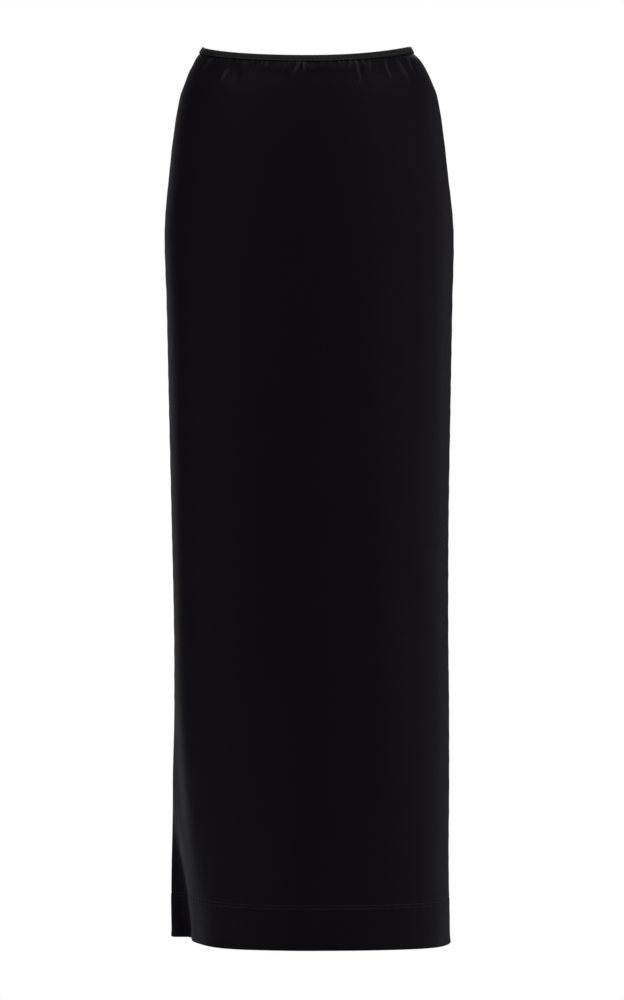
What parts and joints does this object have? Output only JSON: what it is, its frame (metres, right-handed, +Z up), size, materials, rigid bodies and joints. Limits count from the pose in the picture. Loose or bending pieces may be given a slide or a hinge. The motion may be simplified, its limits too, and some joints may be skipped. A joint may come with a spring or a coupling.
{
  "type": "maxi skirt",
  "caption": "Straight ankle-length skirt of black jersey, gathered into a narrow elastic binding at the waist, filled out as if worn and open at waist and hem.",
  "frame": {"origin": "middle of the waist opening, level with the middle of the waist binding at the side seams", "axes": "+Z up, out of the waist opening; -Y towards the front of the skirt; +X towards the wearer's left side"},
  "size_m": [0.341, 0.2435, 1.0554],
  "materials": {
    "jersey": "matte black knitted jersey with a soft sheen at grazing angles",
    "elastic_binding": "slightly lighter black ribbed elastic with two rows of small stitches"
  },
  "bodies": {
    "root": {"front_panel": "jersey", "back_panel": "jersey", "waist_binding": "elastic_binding"}
  },
  "joints": []
}
